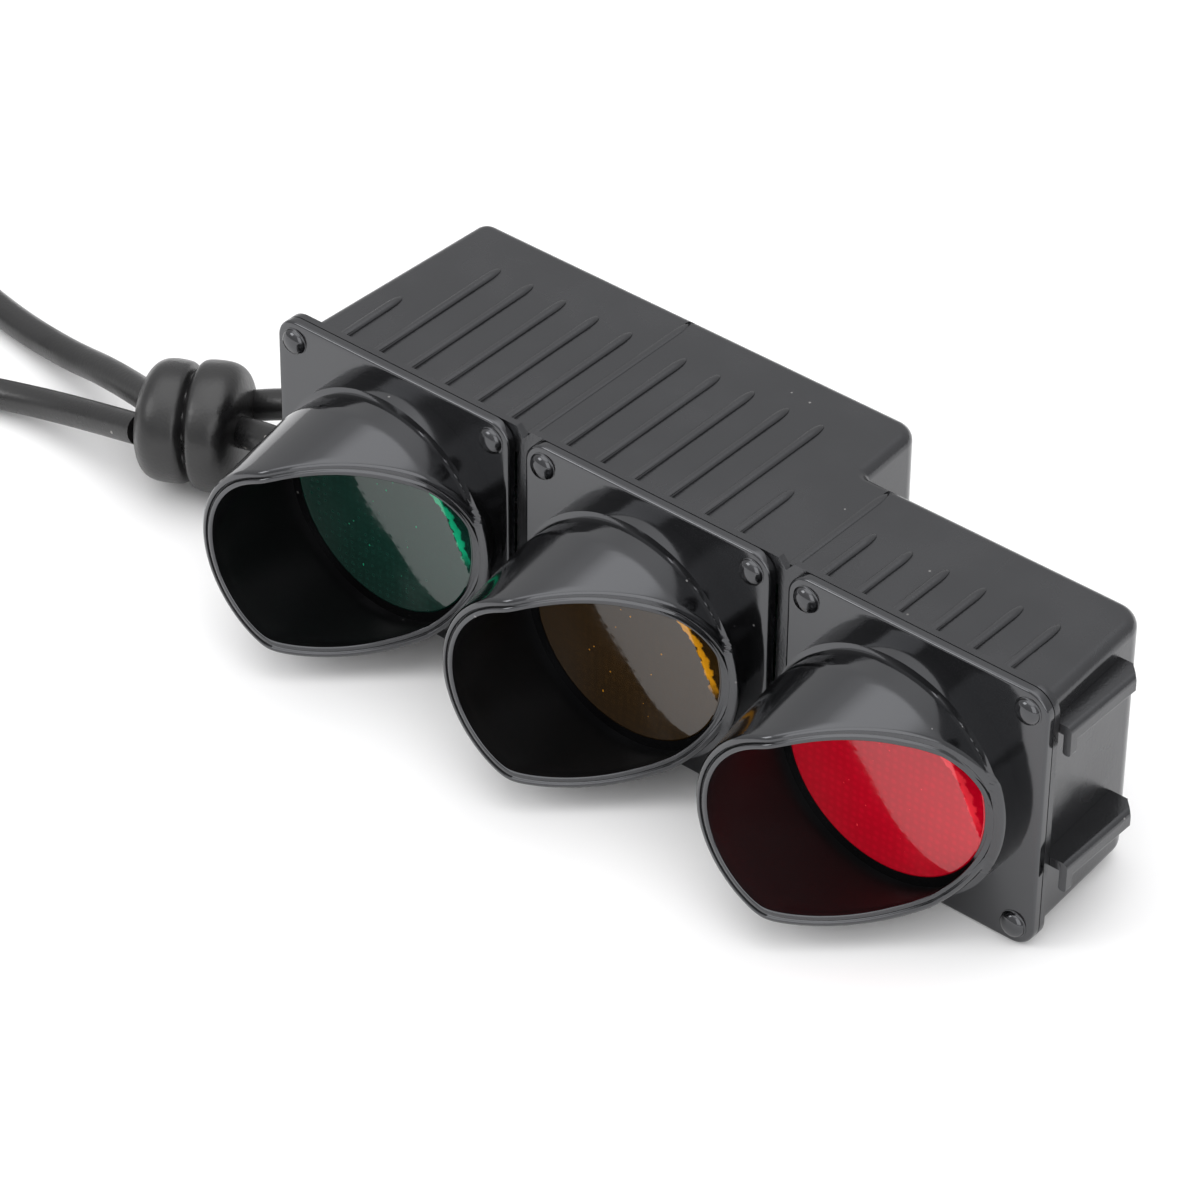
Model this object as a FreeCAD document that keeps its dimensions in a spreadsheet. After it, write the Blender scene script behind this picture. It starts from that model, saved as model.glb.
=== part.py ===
import FreeCAD, Part
import Sketcher
import math
import os

V = FreeCAD.Vector

# Driving dimensions, millimetres and degrees. x runs along the row of lamps from green to red,
# y runs from the hoods to the back, z is up with the signal lying on its long side.
SIZES = {
    "axis_x": 1.0, "front_y": -5.0, "axis_z": 14.0,
    "door_pitch": 29.9, "lamp_pitch": 29.0,
    "door_side": 28.0, "door_thick": 1.0, "door_corner": 2.3, "door_bore": 10.95,
    "flange_length": 87.8, "flange_thick": 0.7,
    "case_half_height": 13.0, "shallow_back": 16.7, "deep_back": 25.6, "case_edge": 1.2,
    "seam_width": 0.5, "seam_depth": 0.35,
    "rib_width": 0.8, "rib_height": 0.35, "rib_pitch": 3.98,
    "rivet_span": 23.8, "rivet_head": 1.4, "rivet_rise": 0.8, "rivet_shank": 0.6, "rivet_length": 3.2,
    "hood_ring_outer": 12.6, "hood_ring_inner": 10.72, "hood_ring_depth": 2.3,
    "hood_length": 15.6, "hood_tip_radius": 10.6, "hood_wall": 0.95, "hood_corner_x": -2.9,
    "lens_radius": 10.67, "lens_thick": 1.5,
    "cup_mouth": 10.3, "cup_wall": 0.7, "cup_throat": 3.4, "cup_depth": 6.0,
    "board_front": 7.0, "board_thick": 1.2, "board_length": 78.0, "board_width": 18.0,
    "led_radius": 1.5, "led_length": 4.4,
    "screw_shank": 0.9, "screw_length": 6.0, "screw_head": 1.9,
    "switch_side": 7.0, "switch_height": 5.3, "plunger_side": 3.0, "plunger_length": 6.0,
    "cap_radius": 3.8, "cap_length": 3.0, "cap_bore_clearance": 0.1, "cap_travel": 1.5,
    "cell_radius": 10.0, "cell_thick": 3.2, "cell_floor": 19.5,
    "cover_length": 48.0, "cover_width": 21.4, "cover_thick": 1.4, "cover_gap": 0.15,
    "bracket_reach": 2.3, "bracket_plate": 1.0, "bracket_lip": 1.7, "bracket_length": 10.7,
    "eye_y": 7.0, "eye_z": -4.0, "eye_bore": 1.95, "eye_outer": 3.55, "eye_thick": 2.2, "eye_reach": 2.75,
    "cord": 3.1, "knot_radius": 6.5, "knot_length": 10.4, "knot_turn": 27.0,
}

doc = FreeCAD.newDocument("lamp_signal")
sheet = doc.addObject("Spreadsheet::Sheet", "sizes")
for row, (name, value) in enumerate(SIZES.items(), start=1):
    sheet.set("A%d" % row, name)
    sheet.set("B%d" % row, str(value))
    sheet.setAlias("B%d" % row, name)
doc.recompute()

parts = []


def size(name):
    return float(getattr(sheet, name))


def role(body, name):
    for feature in body.Origin.OriginFeatures:
        if feature.Role == name:
            return feature
    raise ValueError(name)


def new_body(name, x=0.0, y=0.0, z=0.0):
    """A body named for its piece, its own origin set at x, y, z from the amber lamp's door centre."""
    body = doc.addObject("PartDesign::Body", name)
    body.Label = name
    body.setExpression("Placement.Base.x", "sizes.axis_x + %r" % x)
    body.setExpression("Placement.Base.y", "sizes.front_y + %r" % y)
    body.setExpression("Placement.Base.z", "sizes.axis_z + %r" % z)
    parts.append(body)
    return body


def new_sketch(body, name, plane, offset=0.0, tilt=None):
    """A sketch on one of the body's own planes, moved along that plane's normal."""
    sketch = body.newObject("Sketcher::SketchObject", name)
    sketch.AttachmentSupport = [(role(body, plane), "")]
    sketch.MapMode = "FlatFace"
    rotation = FreeCAD.Rotation() if tilt is None else FreeCAD.Rotation(V(*tilt[0]), tilt[1])
    sketch.AttachmentOffset = FreeCAD.Placement(V(0, 0, offset), rotation)
    return sketch


def polygon(sketch, points, radii=None):
    """Closed outline through the points, each corner rounded by its own radius."""
    count = len(points)
    radii = radii or [0.0] * count
    starts = []
    ends = []
    arcs = []
    for index in range(count):
        here = V(points[index][0], points[index][1], 0)
        back = V(points[index - 1][0], points[index - 1][1], 0) - here
        ahead = V(points[(index + 1) % count][0], points[(index + 1) % count][1], 0) - here
        back.normalize()
        ahead.normalize()
        if radii[index] <= 0:
            ends.append(here)
            starts.append(here)
            arcs.append(None)
            continue
        half = back.getAngle(ahead) / 2
        reach = radii[index] / math.tan(half)
        middle = back + ahead
        middle.normalize()
        centre = here + middle * (radii[index] / math.sin(half))
        ends.append(here + back * reach)
        starts.append(here + ahead * reach)
        arcs.append(centre - middle * radii[index])
    for index in range(count):
        following = (index + 1) % count
        sketch.addGeometry(Part.LineSegment(starts[index], ends[following]), False)
        if arcs[following] is not None:
            arc = Part.Arc(ends[following], arcs[following], starts[following])
            sketch.addGeometry(arc, False)


def circle(sketch, x, y, radius):
    """A circle whose radius follows the sheet; radius is an expression in the sheet's names."""
    index = sketch.addGeometry(Part.Circle(V(x, y, 0), V(0, 0, 1), 1.0), False)
    row = sketch.addConstraint(Sketcher.Constraint("Radius", index, 1.0))
    sketch.setExpression("Constraints[%d]" % row, radius)


def rectangle(sketch, x0, y0, x1, y1, corner=0.0):
    polygon(sketch, [(x0, y0), (x1, y0), (x1, y1), (x0, y1)], [corner] * 4)


def volume_of(body):
    return body.Shape.Volume


def pad(body, sketch, length, reverse=False, midplane=False):
    feature = body.newObject("PartDesign::Pad", sketch.Name + "_pad")
    feature.Profile = sketch
    feature.Reversed = reverse
    if midplane:
        feature.SideType = "Symmetric"
    feature.setExpression("Length", length)
    body.Tip = feature
    doc.recompute()
    return feature


def pocket(body, sketch, length, reverse=False, midplane=False):
    """Cut the sketch out of the body, and stop if nothing was taken away."""
    before = volume_of(body)
    feature = body.newObject("PartDesign::Pocket", sketch.Name + "_cut")
    feature.Profile = sketch
    feature.Reversed = reverse
    if midplane:
        feature.SideType = "Symmetric"
    feature.setExpression("Length", length)
    body.Tip = feature
    doc.recompute()
    if volume_of(body) >= before - 1e-6:
        raise ValueError("the cut %s takes nothing away" % feature.Name)
    return feature


def revolve(body, sketch, axis):
    feature = body.newObject("PartDesign::Revolution", sketch.Name + "_turned")
    feature.Profile = sketch
    feature.ReferenceAxis = (role(body, axis), [""])
    feature.Angle = 360.0
    body.Tip = feature
    doc.recompute()
    return feature


def edges_where(body, wanted):
    """Names of the body's edges whose ends and middle all satisfy the test, in the body's own frame."""
    inverse = body.Placement.inverse()
    names = []
    for index, edge in enumerate(body.Shape.Edges, start=1):
        first, last = edge.ParameterRange
        spots = [edge.valueAt(first + (last - first) * share) for share in (0.0, 0.5, 1.0)]
        if all(wanted(inverse.multVec(spot)) for spot in spots):
            names.append("Edge%d" % index)
    return names


def round_edges(body, wanted, radius):
    names = edges_where(body, wanted)
    if not names:
        raise ValueError("no edges to round on %s" % body.Name)
    base = body.Tip
    feature = body.newObject("PartDesign::Fillet", body.Name + "_round%d" % len(body.Group))
    feature.Base = (base, names)
    feature.setExpression("Radius", radius)
    body.Tip = feature
    doc.recompute()
    if not feature.isValid():
        raise ValueError("the rounding %s did not compute" % feature.Name)
    return feature


LAMPS = [("green", -1), ("amber", 0), ("red", 1)]


def door_plate(colour, place):
    """Square cover of one lamp, with a round opening and four rivet holes."""
    body = new_body("door_plate_" + colour, x=place * size("door_pitch"))
    half = size("door_side") / 2
    outline = new_sketch(body, colour + "_door_outline", "XZ_Plane")
    rectangle(outline, -half, -half, half, half, size("door_corner"))
    pad(body, outline, "sizes.door_thick", reverse=True)
    bore = new_sketch(body, colour + "_door_bore", "XZ_Plane")
    lamp_shift = place * (size("lamp_pitch") - size("door_pitch"))
    circle(bore, lamp_shift, 0, "sizes.door_bore")
    pocket(body, bore, "sizes.door_thick")
    holes = new_sketch(body, colour + "_door_holes", "XZ_Plane")
    reach = size("rivet_span") / 2
    for sx in (-1, 1):
        for sz in (-1, 1):
            circle(holes, sx * reach, sz * reach, "sizes.rivet_shank")
    pocket(body, holes, "sizes.door_thick")
    round_edges(body, lambda p: p.y < 0.01 and max(abs(p.x), abs(p.z)) > half - size("door_corner"), "0.35")


def rivets():
    """Twelve domed rivets, four to a door, one solid each."""
    body_shapes = []
    rise = size("rivet_rise")
    head = size("rivet_head")
    ball = (head * head + rise * rise) / (2 * rise)
    reach = size("rivet_span") / 2
    for colour, place in LAMPS:
        for sx in (-1, 1):
            for sz in (-1, 1):
                spot = V(place * size("door_pitch") + sx * reach, 0, sz * reach)
                shank = Part.makeCylinder(size("rivet_shank"), size("rivet_length"), spot, V(0, 1, 0))
                dome = Part.makeSphere(ball, spot + V(0, ball - rise, 0))
                block = Part.makeCylinder(head + 1, rise, spot - V(0, rise, 0), V(0, 1, 0))
                body_shapes.append(dome.common(block).fuse(shank).removeSplitter())
    feature = doc.addObject("Part::Feature", "door_rivets")
    feature.Label = "door_rivets"
    feature.Shape = Part.makeCompound(body_shapes)
    place_like_bodies(feature)


def place_like_bodies(feature):
    feature.setExpression("Placement.Base.x", "sizes.axis_x")
    feature.setExpression("Placement.Base.y", "sizes.front_y")
    feature.setExpression("Placement.Base.z", "sizes.axis_z")
    parts.append(feature)


def case_walls():
    """Left end, deep back, step, shallow back and right end of the case seen from above."""
    start = size("door_thick") + size("flange_thick") - 0.3
    return [(-41.7, start), (-40.6, size("deep_back")), (11.2, size("deep_back")),
            (11.7, size("shallow_back")), (42.4, size("shallow_back")), (43.3, start)]


def case_flange(body):
    """Thin flange behind the doors, notched where the lamp units meet."""
    half_x = size("flange_length") / 2
    half_z = size("door_side") / 2
    outline = new_sketch(body, "flange_outline", "XZ_Plane", offset=-size("door_thick"))
    rectangle(outline, -half_x, -half_z, half_x, half_z, size("door_corner"))
    pad(body, outline, "sizes.flange_thick", reverse=True)
    notches = new_sketch(body, "flange_notches", "XZ_Plane", offset=-size("door_thick"))
    for sx in (-1, 1):
        for sz in (-1, 1):
            middle = sx * size("door_pitch") / 2
            polygon(notches, [(middle - 1.3, sz * (half_z + 0.5)), (middle + 1.3, sz * (half_z + 0.5)),
                              (middle, sz * (half_z - 1.0))])
    pocket(body, notches, "sizes.flange_thick")


def case_box(body):
    """Case behind the flange: full length to the shallow back, part length to the deep back."""
    walls = case_walls()
    plan = new_sketch(body, "case_plan", "XY_Plane")
    polygon(plan, walls, [0, 1.5, 2.4, 0.6, 2.8, 0])
    pad(body, plan, "2 * sizes.case_half_height", midplane=True)
    half = size("case_half_height")
    behind = size("door_thick") + size("flange_thick") - 0.01
    round_edges(body, lambda p: abs(abs(p.z) - half) < 0.01 and p.y > behind
                and (abs(p.x) > 41 or p.y > behind + 0.1), "sizes.case_edge")


def case_inside(body):
    """Lamp room behind the doors, parted between the lamps, closed at the back."""
    wall = 1.5
    first = 0.5
    seam = size("door_pitch") / 2
    part_end = 6.4
    room = new_sketch(body, "case_room", "XY_Plane")
    polygon(room, [(-40.1, first), (-39.4, 18.0), (9.8, 18.0), (9.8, size("shallow_back") - wall),
                   (40.9, size("shallow_back") - wall), (41.7, first),
                   (seam + 0.8, first), (seam + 0.8, part_end), (seam - 0.8, part_end), (seam - 0.8, first),
                   (-seam + 0.8, first), (-seam + 0.8, part_end), (-seam - 0.8, part_end),
                   (-seam - 0.8, first)])
    pocket(body, room, "22", midplane=True)
    posts = new_sketch(body, "case_posts_deep", "XZ_Plane", offset=-18.5)
    for x in (-20.0, 8.2):
        circle(posts, x, 0, "2.2")
    pad(body, posts, "18.5 - sizes.board_front - sizes.board_thick")
    post = new_sketch(body, "case_post_shallow", "XZ_Plane", offset=-15.7)
    circle(post, 36.5, 0, "2.2")
    pad(body, post, "15.7 - sizes.board_front - sizes.board_thick")


def case_holes(body):
    """Seats for the rivets and screws, the button bore, and the cell compartment with its cover seat."""
    rivet_seats = new_sketch(body, "rivet_seats", "XZ_Plane", offset=-size("door_thick"))
    reach = size("rivet_span") / 2
    for colour, place in LAMPS:
        for sx in (-1, 1):
            for sz in (-1, 1):
                circle(rivet_seats, place * size("door_pitch") + sx * reach, sz * reach, "sizes.rivet_shank")
    pocket(body, rivet_seats, "sizes.rivet_length - sizes.door_thick")
    board_back = size("board_front") + size("board_thick")
    screw_seats = new_sketch(body, "screw_seats", "XZ_Plane", offset=-board_back)
    for x in (-20.0, 8.2, 36.5):
        circle(screw_seats, x, 0, "sizes.screw_shank")
    pocket(body, screw_seats, "sizes.screw_length - sizes.board_thick")
    button_bore = new_sketch(body, "button_bore", "XZ_Plane", offset=-14.0)
    circle(button_bore, size("lamp_pitch"), 0, "sizes.cap_radius + sizes.cap_bore_clearance")
    pocket(body, button_bore, "4")
    middle = -15.0
    half_x = size("cover_length") / 2
    half_z = size("cover_width") / 2
    seat = new_sketch(body, "cover_seat", "XZ_Plane", offset=-size("deep_back"))
    rectangle(seat, middle - half_x, -half_z, middle + half_x, half_z, 1.5)
    pocket(body, seat, "sizes.cover_thick", reverse=True)
    compartment = new_sketch(body, "cell_compartment", "XZ_Plane", offset=-size("deep_back"))
    rectangle(compartment, middle - half_x + 1.1, -half_z + 0.4, middle + half_x - 5.8, half_z - 0.4, 1.2)
    pocket(body, compartment, "sizes.deep_back - sizes.cell_floor", reverse=True)
    cover_screw_seat = new_sketch(body, "cover_screw_seat", "XZ_Plane", offset=-size("deep_back"))
    circle(cover_screw_seat, middle + half_x - 2.6, 0, "0.95")
    pocket(body, cover_screw_seat, "6", reverse=True)


def case_ribs(body):
    """Raised ribs on the two long sides, long over the deep box and short elsewhere."""
    pitch = size("rib_pitch")
    front = size("door_thick") + size("flange_thick") - 0.1
    short_end = 10.6
    long_end = 20.0
    rows = []
    for index in range(6):
        rows.append((-37.9 + pitch * index, short_end if index == 0 else long_end))
        rows.append((-11.6 + pitch * index, short_end if index == 5 else long_end))
        rows.append((17.8 + pitch * index, short_end - 0.4))
    half = size("rib_width") / 2
    for side, sign in (("upper", 1), ("lower", -1)):
        offset = sign * (size("case_half_height") - 0.5)
        ribs = new_sketch(body, side + "_ribs", "XY_Plane", offset=offset)
        for x, end in rows:
            polygon(ribs, [(x - half, front), (x + half, front), (x + half, end), (x - half, end)],
                    [0, 0, half * 0.95, half * 0.95])
        pad(body, ribs, "sizes.rib_height + 0.5", reverse=sign < 0)


def case_seams(body):
    """Narrow grooves round the case where the three lamp units meet."""
    half = size("case_half_height")
    front = size("door_thick") + size("flange_thick")
    depth = size("seam_depth")
    for name, x, back in (("seam_green_amber", -size("door_pitch") / 2, size("deep_back")),
                          ("seam_amber_red", size("door_pitch") / 2, size("shallow_back"))):
        groove = new_sketch(body, name, "YZ_Plane", offset=x)
        polygon(groove, [(front, half + 1), (back + 1, half + 1), (back + 1, -half - 1), (front, -half - 1),
                         (front, -half + depth), (back - depth, -half + depth), (back - depth, half - depth),
                         (front, half - depth)])
        pocket(body, groove, "sizes.seam_width", midplane=True)


def case_shell():
    body = new_body("case_shell")
    case_flange(body)
    case_box(body)
    case_inside(body)
    case_ribs(body)
    case_seams(body)
    case_holes(body)


def hood(colour, place):
    """Ring that carries the lens, with a tapered visor cut away slantwise towards the red end."""
    body = new_body("hood_" + colour, x=place * size("lamp_pitch"))
    outer = size("hood_ring_outer")
    inner = size("hood_ring_inner")
    ring = size("hood_ring_depth")
    tip = size("hood_length")
    wall = size("hood_wall")
    profile = new_sketch(body, colour + "_hood_profile", "XY_Plane")
    polygon(profile, [(inner, 0), (outer, 0), (outer, -ring), (size("hood_tip_radius"), -tip),
                      (size("hood_tip_radius") - wall, -tip), (outer - wall, -ring), (inner, -ring)])
    revolve(body, profile, "Y_Axis")
    corner = size("hood_corner_x")
    cut = new_sketch(body, colour + "_hood_slant", "XY_Plane")
    polygon(cut, [(corner, -tip - 4), (corner, -tip), (outer - 1.3, -ring), (outer + 2, -ring),
                  (outer + 2, -tip - 4)])
    pocket(body, cut, "4 * sizes.hood_ring_outer", midplane=True)
    near = (corner - 0.6, corner + 0.6)
    round_edges(body, lambda p: near[0] < p.x < near[1] and p.y < -tip + 0.5, "2.5")


def lens(colour, place):
    """Flat coloured disc held in the hood's ring, with a shallow pattern of dimples behind."""
    body = new_body("lens_" + colour, x=place * size("lamp_pitch"))
    face = size("hood_ring_depth") - 0.1
    disc = new_sketch(body, colour + "_lens_disc", "XZ_Plane", offset=face)
    circle(disc, 0, 0, "sizes.lens_radius")
    pad(body, disc, "sizes.lens_thick", reverse=True)
    rear = face - size("lens_thick")
    recess = new_sketch(body, colour + "_lens_recess", "XZ_Plane", offset=rear)
    circle(recess, 0, 0, "sizes.lens_radius - 1.2")
    pocket(body, recess, "0.3", reverse=True)


def reflector(colour, place):
    """Bright cup behind a lens, narrowing to the lamp."""
    body = new_body("reflector_" + colour, x=place * size("lamp_pitch"))
    front = size("lens_thick") + 0.1 - size("hood_ring_depth") + 0.02
    mouth = size("cup_mouth")
    throat = size("cup_throat")
    wall = size("cup_wall")
    back = size("cup_depth")
    profile = new_sketch(body, colour + "_cup_profile", "XY_Plane")
    polygon(profile, [(mouth - wall, front), (mouth, front), (mouth, front + 1.6),
                      (throat + wall, back), (throat - 0.6, back), (throat - 0.6, back - wall)])
    revolve(body, profile, "Y_Axis")


def circuit_board():
    """Board behind the reflectors that carries the three lamps and the switch."""
    body = new_body("circuit_board", y=size("board_front"))
    half_x = size("board_length") / 2
    half_z = size("board_width") / 2
    outline = new_sketch(body, "board_outline", "XZ_Plane")
    rectangle(outline, -half_x, -half_z, half_x, half_z, 1.5)
    pad(body, outline, "sizes.board_thick", reverse=True)
    holes = new_sketch(body, "board_holes", "XZ_Plane")
    for x in (-20.0, 8.2, 36.5):
        circle(holes, x, 0, "sizes.screw_shank + 0.15")
    pocket(body, holes, "sizes.board_thick")


def board_screws():
    """Three pan-head screws holding the board to the posts of the case."""
    shapes = []
    for x in (-20.0, 8.2, 36.5):
        spot = V(x, size("board_front"), 0)
        shank = Part.makeCylinder(size("screw_shank"), size("screw_length"), spot, V(0, 1, 0))
        head = Part.makeCylinder(size("screw_head"), 1.2, spot - V(0, 1.2, 0), V(0, 1, 0))
        slot = Part.makeBox(2.6, 0.6, 0.5, spot + V(-1.3, -1.2, -0.25))
        cross = Part.makeBox(0.5, 0.6, 2.6, spot + V(-0.25, -1.2, -1.3))
        shapes.append(shank.fuse(head).removeSplitter().cut(slot).cut(cross))
    feature = doc.addObject("Part::Feature", "board_screws")
    feature.Label = "board_screws"
    feature.Shape = Part.makeCompound(shapes)
    place_like_bodies(feature)


def lamp_led(colour, place):
    """Round-nosed light-emitting diode standing on the board behind one lens."""
    body = new_body("led_" + colour, x=place * size("lamp_pitch"), y=size("board_front"))
    radius = size("led_radius")
    length = size("led_length")
    profile = new_sketch(body, colour + "_led_profile", "XY_Plane")
    nose = length - radius
    profile.addGeometry(Part.LineSegment(V(0, 0, 0), V(radius + 0.3, 0, 0)), False)
    profile.addGeometry(Part.LineSegment(V(radius + 0.3, 0, 0), V(radius + 0.3, -0.9, 0)), False)
    profile.addGeometry(Part.LineSegment(V(radius + 0.3, -0.9, 0), V(radius, -0.9, 0)), False)
    profile.addGeometry(Part.LineSegment(V(radius, -0.9, 0), V(radius, -nose, 0)), False)
    lower = V(radius * math.cos(math.pi / 4), -nose - radius * math.sin(math.pi / 4), 0)
    profile.addGeometry(Part.Arc(V(radius, -nose, 0), lower, V(0, -length, 0)), False)
    profile.addGeometry(Part.LineSegment(V(0, -length, 0), V(0, 0, 0)), False)
    revolve(body, profile, "Y_Axis")


def switch():
    """Push switch on the back of the board: a square body, a sliding plunger and a round cap."""
    back = size("board_front") + size("board_thick")
    side = size("switch_side") / 2
    bore = size("plunger_side") / 2 + 0.08
    body = new_body("switch_body", x=size("lamp_pitch"), y=back)
    outline = new_sketch(body, "switch_outline", "XZ_Plane")
    rectangle(outline, -side, -side, side, side, 0.4)
    pad(body, outline, "sizes.switch_height", reverse=True)
    well = new_sketch(body, "switch_well", "XZ_Plane", offset=-size("switch_height"))
    rectangle(well, -bore, -bore, bore, bore)
    pocket(body, well, "4.2", reverse=True)
    top = back + size("switch_height")
    half = size("plunger_side") / 2
    stem = new_body("switch_plunger", x=size("lamp_pitch"), y=top - 2.0)
    section = new_sketch(stem, "plunger_section", "XZ_Plane")
    rectangle(section, -half, -half, half, half)
    pad(stem, section, "sizes.plunger_length", reverse=True)
    cap = new_body("button_cap", x=size("lamp_pitch"), y=15.9)
    round_top = new_sketch(cap, "cap_disc", "XZ_Plane")
    circle(round_top, 0, 0, "sizes.cap_radius")
    pad(cap, round_top, "sizes.cap_length", reverse=True)
    socket = new_sketch(cap, "cap_socket", "XZ_Plane")
    rectangle(socket, -half, -half, half, half)
    pocket(cap, socket, "%r" % (top - 2.0 + size("plunger_length") - 15.9))
    round_edges(cap, lambda p: p.y > size("cap_length") - 0.01, "0.6")


def coin_cells():
    """Two coin cells side by side on the floor of the compartment."""
    shapes = []
    radius = size("cell_radius")
    thick = size("cell_thick")
    for x in (-27.7, -7.1):
        base = V(x, size("cell_floor") + 0.4, 0)
        can = Part.makeCylinder(radius, thick - 0.6, base + V(0, 0.6, 0), V(0, 1, 0))
        rim = [edge for edge in can.Edges if abs(edge.BoundBox.YMin - base.y - thick) < 0.01]
        can = can.makeFillet(0.3, [edge for edge in rim if edge.BoundBox.YLength < 0.01])
        seal = Part.makeCylinder(radius - 0.9, 0.6, base, V(0, 1, 0))
        shapes.append(can.fuse(seal).removeSplitter())
    feature = doc.addObject("Part::Feature", "coin_cells")
    feature.Label = "coin_cells"
    feature.Shape = Part.makeCompound(shapes)
    place_like_bodies(feature)


def cell_contacts():
    """Two sprung strips under the cells, each with a raised tongue."""
    shapes = []
    floor = size("cell_floor")
    for x in (-27.7, -7.1):
        strip = Part.makeBox(12.0, 0.2, 4.0, V(x - 6.0, floor, -2.0))
        tongue = Part.makeBox(3.0, 0.4, 2.0, V(x - 1.5, floor, -1.0))
        shapes.append(strip.fuse(tongue).removeSplitter())
    feature = doc.addObject("Part::Feature", "cell_contacts")
    feature.Label = "cell_contacts"
    feature.Shape = Part.makeCompound(shapes)
    place_like_bodies(feature)


def battery_cover():
    """Flat cover of the cell compartment with a pull recess, and its screw."""
    gap = size("cover_gap")
    half_x = size("cover_length") / 2 - gap
    half_z = size("cover_width") / 2 - gap
    inner = size("deep_back") - size("cover_thick")
    cover = new_body("battery_cover", x=-15.0, y=inner + 0.02)
    outline = new_sketch(cover, "cover_outline", "XZ_Plane")
    rectangle(outline, -half_x, -half_z, half_x, half_z, 1.5 - gap)
    pad(cover, outline, "sizes.cover_thick - 0.02", reverse=True)
    grips = new_sketch(cover, "cover_grips", "XZ_Plane", offset=-size("cover_thick"))
    for index in range(3):
        x = -half_x + 3.0 + 1.6 * index
        rectangle(grips, x, -5.0, x + 0.8, 5.0, 0.3)
    pocket(cover, grips, "0.5", reverse=True)
    screw_x = size("cover_length") / 2 - 2.6
    sink = new_sketch(cover, "cover_sink", "XZ_Plane", offset=-size("cover_thick"))
    circle(sink, screw_x, 0, "1.6")
    pocket(cover, sink, "0.9", reverse=True)
    way = new_sketch(cover, "cover_way", "XZ_Plane", offset=-size("cover_thick"))
    circle(way, screw_x, 0, "1.0")
    pocket(cover, way, "3", reverse=True)
    screw = new_body("cover_screw", x=-15.0 + screw_x, y=size("deep_back"))
    head = new_sketch(screw, "cover_screw_head", "XZ_Plane", offset=-0.0)
    circle(head, 0, 0, "1.5")
    pad(screw, head, "0.88")
    shank = new_sketch(screw, "cover_screw_shank", "XZ_Plane")
    circle(shank, 0, 0, "0.85")
    pad(screw, shank, "5.5")
    for name, half_a, half_b in (("cover_screw_slot", 1.1, 0.22), ("cover_screw_cross", 0.22, 1.1)):
        slot = new_sketch(screw, name, "XZ_Plane")
        rectangle(slot, -half_a, -half_b, half_a, half_b)
        pocket(screw, slot, "0.5", reverse=True)


def bracket(name, top_z, reach, wall_x):
    """Rail on the red end: a shelf with a turned-down lip, and a small foot behind the flange."""
    front = size("door_thick") + size("flange_thick") + 0.05
    body = new_body(name, y=front)
    plate = size("bracket_plate")
    lip = size("bracket_lip")
    section = new_sketch(body, name + "_section", "XZ_Plane")
    outer = wall_x + reach
    polygon(section, [(wall_x - 0.9, top_z), (outer, top_z), (outer, top_z - lip), (outer - 0.8, top_z - lip),
                      (outer - 0.8, top_z - plate), (wall_x - 0.9, top_z - plate)],
            [0, 0.6, 0.2, 0.2, 0, 0])
    pad(body, section, "sizes.bracket_length", reverse=True)
    end = size("bracket_length")
    corner = new_sketch(body, name + "_corner", "XY_Plane", offset=top_z)
    polygon(corner, [(outer - 1.3, end + 1), (outer - 1.3, end), (outer, end - 1.3), (outer + 1, end - 1.3),
                     (outer + 1, end + 1)], [0, 0.6, 0.6, 0, 0])
    pocket(body, corner, "2 * sizes.bracket_lip + 2", midplane=True)
    foot = new_sketch(body, name + "_foot", "XZ_Plane")
    rectangle(foot, outer - 0.8, top_z - lip - 1.4, outer, top_z - lip + 0.6, 0.3)
    pad(body, foot, "0.9", reverse=True)


def trim_bracket(body):
    """Cut the bracket back to the slope of the case's right end."""
    walls = case_walls()
    front = size("door_thick") + size("flange_thick") + 0.05
    high = walls[4]
    low = walls[5]
    slope = (high[0] - low[0]) / (high[1] - low[1])
    behind = 14.0
    near_x = low[0] + slope * (front - 1 - low[1]) + 0.01
    far_x = low[0] + slope * (front + behind - low[1]) + 0.01
    cut = new_sketch(body, body.Name + "_wall", "XY_Plane", offset=5.0)
    polygon(cut, [(30, -1), (near_x, -1), (far_x, behind), (30, behind)])
    pocket(body, cut, "60", midplane=True)


def strap_eye():
    """Small eye on the green end that the cord is threaded through."""
    walls = case_walls()
    slope = (walls[1][0] - walls[0][0]) / (walls[1][1] - walls[0][1])
    half = size("eye_thick") / 2
    wall_x = walls[0][0] + slope * (size("eye_y") - half - walls[0][1]) - 0.01
    centre = wall_x - size("eye_reach")
    body = new_body("strap_eye", x=centre, y=size("eye_y"), z=size("eye_z"))
    outer = size("eye_outer")
    tab = new_sketch(body, "eye_tab", "XZ_Plane")
    tab.addGeometry(Part.LineSegment(V(wall_x - centre, outer, 0), V(0, outer, 0)), False)
    tab.addGeometry(Part.Arc(V(0, outer, 0), V(-outer, 0, 0), V(0, -outer, 0)), False)
    tab.addGeometry(Part.LineSegment(V(0, -outer, 0), V(wall_x - centre, -outer, 0)), False)
    tab.addGeometry(Part.LineSegment(V(wall_x - centre, -outer, 0), V(wall_x - centre, outer, 0)), False)
    pad(body, tab, "sizes.eye_thick", midplane=True)
    bore = new_sketch(body, "eye_bore_circle", "XZ_Plane")
    circle(bore, 0, 0, "sizes.eye_bore")
    pocket(body, bore, "2 * sizes.eye_thick", midplane=True)


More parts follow.
